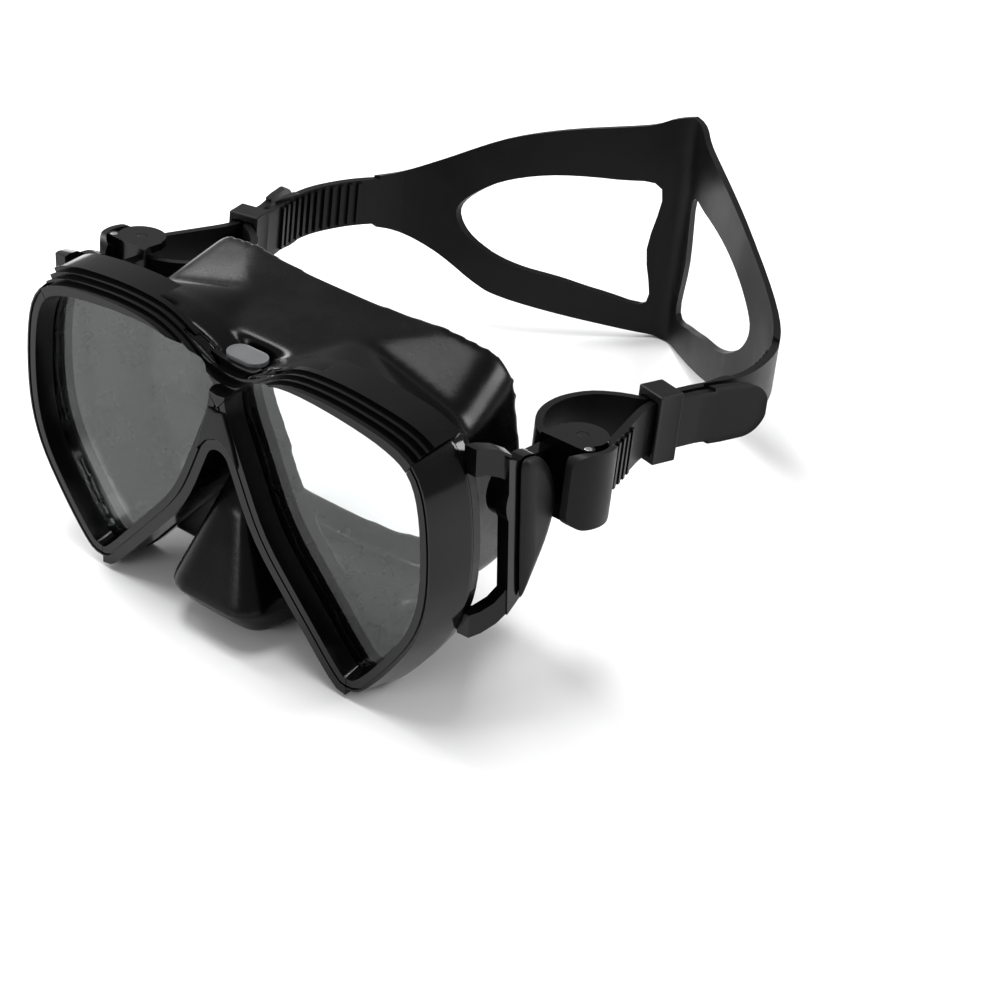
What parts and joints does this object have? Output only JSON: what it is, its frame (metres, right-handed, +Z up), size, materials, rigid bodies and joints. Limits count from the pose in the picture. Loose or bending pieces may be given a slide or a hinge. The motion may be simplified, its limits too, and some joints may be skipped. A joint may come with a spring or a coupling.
{
  "type": "diving_mask",
  "caption": "Black twin-lens diving mask with a silicone skirt, an enclosed nose pocket, a split silicone strap, swivel buckles with release levers and sliding keepers",
  "frame": {"origin": "middle of the mask's footprint, on the floor it stands on", "axes": "+X across the face towards side_panel_right, +Y from the lenses back towards the strap, +Z up as the mask stands"},
  "size_m": [0.182, 0.2216, 0.0891],
  "materials": {
    "gloss_black": "moulded polycarbonate, glossy",
    "satin_black": "fine satin texture",
    "grey_badge": "plain grey inlay",
    "lens_glass": "clear tempered glass",
    "silicone_black": "smooth satin silicone",
    "silicone_strap": "satin silicone with moulded ribs",
    "steel": "stainless"
  },
  "bodies": {
    "mask": {"main_frame": "gloss_black", "rim_left": "gloss_black", "rim_right": "gloss_black", "nose_bridge": "gloss_black", "bridge_clip": "satin_black", "brow_cover": "gloss_black", "badge": "grey_badge", "lens_left": "lens_glass", "lens_right": "lens_glass", "skirt": "silicone_black", "side_panel_left": "satin_black", "side_panel_right": "satin_black", "pivot_pin_left": "satin_black", "pivot_pin_right": "satin_black"},
    "buckle_left": {"buckle_left": "gloss_black", "lever_pin_left": "steel", "lever_spring_left": "steel"},
    "roller_left": {"roller_left": "satin_black"},
    "lever_left": {"release_lever_left": "satin_black"},
    "buckle_right": {"buckle_right": "gloss_black", "lever_pin_right": "steel", "lever_spring_right": "steel"},
    "roller_right": {"roller_right": "satin_black"},
    "lever_right": {"release_lever_right": "satin_black"},
    "strap": {"strap": "silicone_strap"},
    "keeper_left": {"keeper_left": "satin_black"},
    "keeper_right": {"keeper_right": "satin_black"}
  },
  "joints": [
    {"name": "strap_swing", "type": "hinge", "parent": "mask", "child": "strap", "pos_m": [0, -0.07106, 0.06294], "axis": [1, 0, 0], "range_deg": [-6, 60]},
    {"name": "buckle_swivel_left", "type": "hinge", "parent": "mask", "child": "buckle_left", "pos_m": [-0.0742, -0.07106, 0.06294], "axis": [1, 0, 0], "range_deg": [-6, 60]},
    {"name": "roller_spin_left", "type": "hinge", "parent": "buckle_left", "child": "roller_left", "pos_m": [-0.0805, -0.05167, 0.06004], "axis": [0, 0.1478, 0.989], "continuous": true},
    {"name": "lever_release_left", "type": "hinge", "parent": "buckle_left", "child": "lever_left", "pos_m": [-0.0864, -0.05702, 0.06084], "axis": [0, 0.1478, 0.989], "range_deg": [0, 14], "stiffness_Nm_per_rad": 0.02, "springref_deg": -8.59},
    {"name": "keeper_slide_left", "type": "slide", "parent": "strap", "child": "keeper_left", "axis": [-0.2588, 0.9553, -0.1428], "range_m": [-0.0008, 0.0072]},
    {"name": "buckle_swivel_right", "type": "hinge", "parent": "mask", "child": "buckle_right", "pos_m": [0.0742, -0.07106, 0.06294], "axis": [1, 0, 0], "range_deg": [-6, 60]},
    {"name": "roller_spin_right", "type": "hinge", "parent": "buckle_right", "child": "roller_right", "pos_m": [0.0805, -0.05167, 0.06004], "axis": [0, 0.1478, 0.989], "continuous": true},
    {"name": "lever_release_right", "type": "hinge", "parent": "buckle_right", "child": "lever_right", "pos_m": [0.0864, -0.05702, 0.06084], "axis": [0, 0.1478, 0.989], "range_deg": [-14, 0], "stiffness_Nm_per_rad": 0.02, "springref_deg": 8.59},
    {"name": "keeper_slide_right", "type": "slide", "parent": "strap", "child": "keeper_right", "axis": [0.2588, 0.9553, -0.1428], "range_m": [-0.0008, 0.0072]}
  ],
  "couplings": [
    {"joint": "buckle_swivel_left", "follows": "strap_swing", "ratio": 1},
    {"joint": "buckle_swivel_right", "follows": "strap_swing", "ratio": 1}
  ]
}
